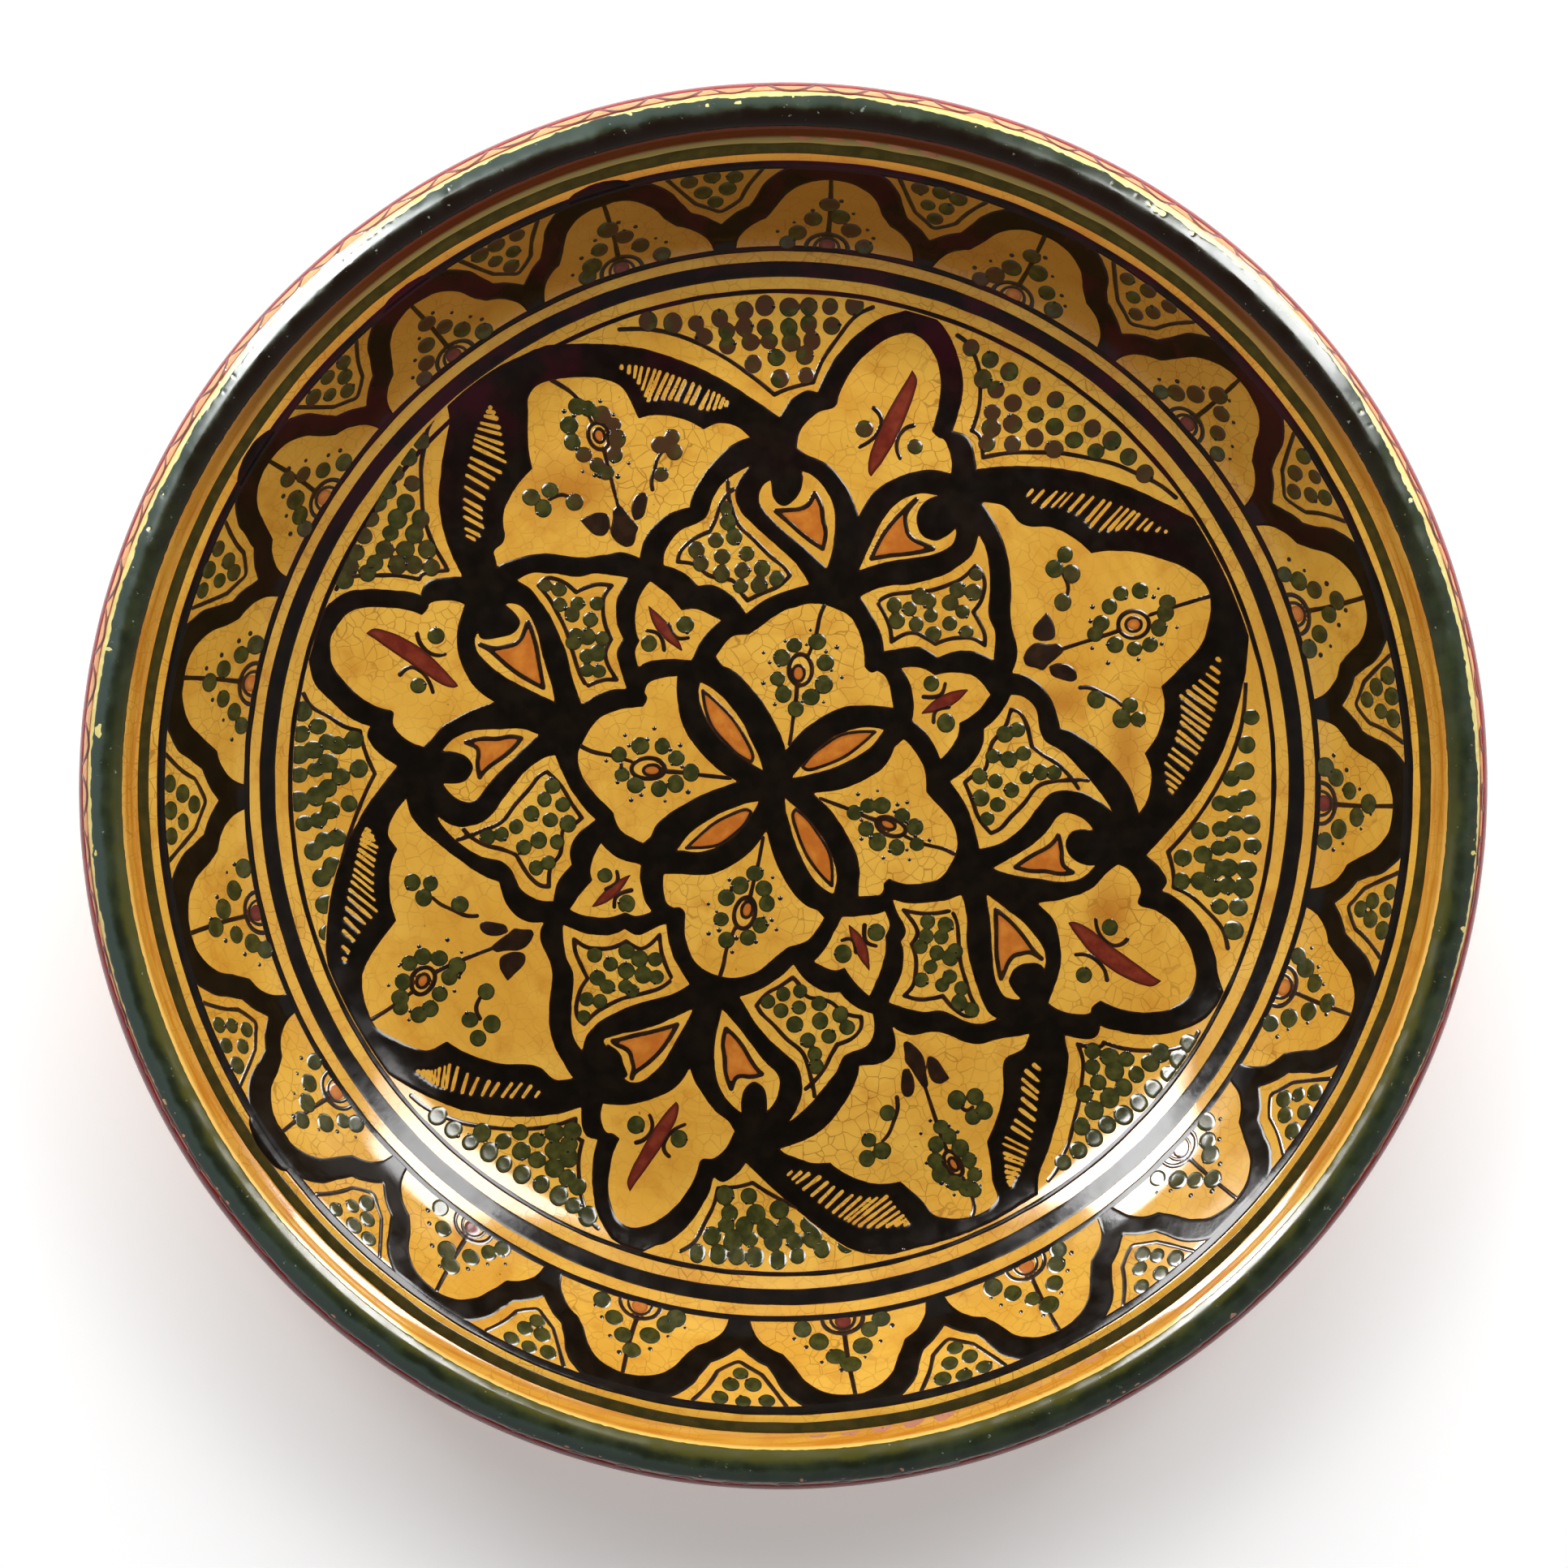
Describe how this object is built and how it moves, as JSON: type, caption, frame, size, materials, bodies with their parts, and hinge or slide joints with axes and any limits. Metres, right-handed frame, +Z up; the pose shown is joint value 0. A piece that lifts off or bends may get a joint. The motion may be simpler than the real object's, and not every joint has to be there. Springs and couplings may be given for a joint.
{
  "type": "plate",
  "caption": "Deep round hand-painted ceramic serving plate with a rolled collar, a raised foot ring, coloured glaze coats and painted rings.",
  "frame": {"origin": "on the plate's axis at the underside of the foot ring, where it stands on a table", "axes": "+Z up along the axis of revolution; +Y is the top of the painted pattern, +X its right"},
  "size_m": [0.35, 0.35, 0.0579],
  "materials": {
    "terracotta": "matte, unglazed fired clay",
    "amber_glaze": "glossy, fine crackle, brush-laid honey yellow",
    "peach_glaze": "glossy, pale peach yellow with red-brown line work",
    "green_glaze": "glossy bottle green, rubbed through at the rim's outer edge",
    "dark_red_glaze": "glossy dark brick red",
    "black_glaze": "glossy brown-black, slightly raised",
    "olive_glaze": "glossy olive brown, slightly raised",
    "orange_glaze": "glossy burnt orange, slightly raised"
  },
  "bodies": {
    "root": {"clay_body": "terracotta", "foot_ring": "terracotta", "interior_glaze": "amber_glaze", "rim_glaze_green": "green_glaze", "collar_glaze_yellow": "peach_glaze", "collar_glaze_red": "dark_red_glaze", "outer_wall_glaze": "amber_glaze", "foot_recess_glaze": "amber_glaze", "well_line_fine": "dark_red_glaze", "well_band_broad": "black_glaze", "wall_line_lower": "black_glaze", "wall_line_upper": "black_glaze", "lip_line_olive": "olive_glaze"}
  },
  "joints": []
}
